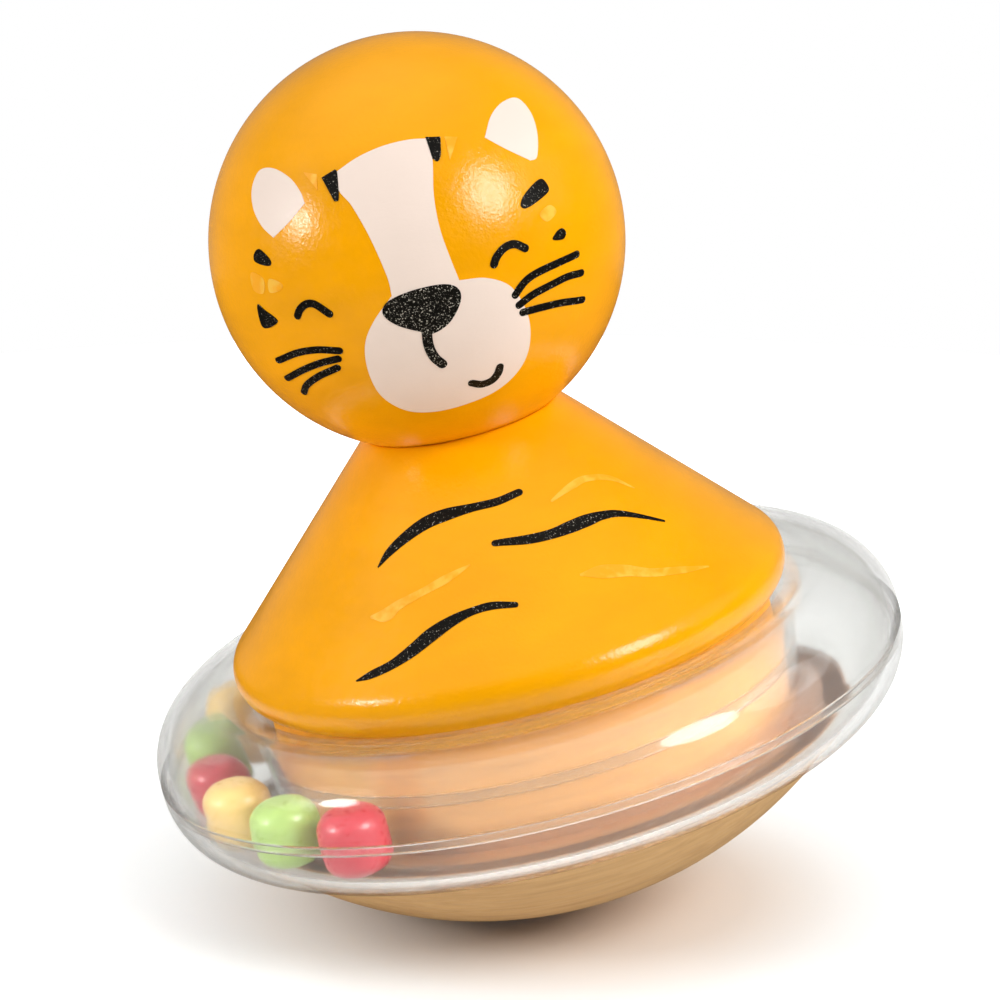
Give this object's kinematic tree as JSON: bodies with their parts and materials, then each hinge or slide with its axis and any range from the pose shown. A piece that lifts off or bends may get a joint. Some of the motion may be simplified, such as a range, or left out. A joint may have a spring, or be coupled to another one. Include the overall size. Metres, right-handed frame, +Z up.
{
  "type": "roly poly toy",
  "caption": "Wooden roly-poly tiger: ball head and cone body on a weighted rocking dome, with a clear ring of loose rattling beads round its hub.",
  "frame": {"origin": "middle of the small flat under the dome, on the toy's axis", "axes": "+Z up along the toy's axis, -Y the front that the face looks to, +X to its viewer's right"},
  "size_m": [0.094, 0.094, 0.1089],
  "materials": {
    "painted_wood": "satin yellow-orange paint over turned wood",
    "bare_wood": "turned light wood, clear satin varnish",
    "clear_plastic": "polished crystal-clear plastic",
    "steel": "plain steel",
    "red_bead": "semi-gloss coral red",
    "green_bead": "semi-gloss soft green",
    "yellow_bead": "semi-gloss pale yellow",
    "black_ink": "printed black ink",
    "white_ink": "printed off-white ink",
    "gold_ink": "thin printed gold ink"
  },
  "bodies": {
    "toy": {"head": "painted_wood", "body_cone": "painted_wood", "centre_dowel": "bare_wood", "base": "bare_wood", "ballast_weight": "steel", "base_plug": "bare_wood", "ring_upper_shell": "clear_plastic", "ring_lower_shell": "clear_plastic"},
    "red_bead_front": {"red_bead_front": "red_bead"},
    "green_bead_front": {"green_bead_front": "green_bead"},
    "yellow_bead_front": {"yellow_bead_front": "yellow_bead"},
    "red_bead_rear": {"red_bead_rear": "red_bead"},
    "green_bead_rear": {"green_bead_rear": "green_bead"},
    "yellow_bead_rear": {"yellow_bead_rear": "yellow_bead"}
  },
  "joints": [
    {"name": "red_front_run", "type": "hinge", "parent": "toy", "child": "red_bead_front", "pos_m": [0, 0, 0.024], "axis": [0, 0, -1], "continuous": true},
    {"name": "green_front_run", "type": "hinge", "parent": "red_bead_front", "child": "green_bead_front", "pos_m": [0, 0, 0.024], "axis": [0, 0, -1], "range_deg": [-3.2, 53]},
    {"name": "yellow_front_run", "type": "hinge", "parent": "green_bead_front", "child": "yellow_bead_front", "pos_m": [0, 0, 0.024], "axis": [0, 0, -1], "range_deg": [-2.7, 53.5]},
    {"name": "red_rear_run", "type": "hinge", "parent": "yellow_bead_front", "child": "red_bead_rear", "pos_m": [0, 0, 0.024], "axis": [0, 0, -1], "range_deg": [-2.2, 54]},
    {"name": "green_rear_run", "type": "hinge", "parent": "red_bead_rear", "child": "green_bead_rear", "pos_m": [0, 0, 0.024], "axis": [0, 0, -1], "range_deg": [-2.7, 53.5]},
    {"name": "yellow_rear_run", "type": "hinge", "parent": "green_bead_rear", "child": "yellow_bead_rear", "pos_m": [0, 0, 0.024], "axis": [0, 0, -1], "range_deg": [-2.7, 53.5]}
  ]
}
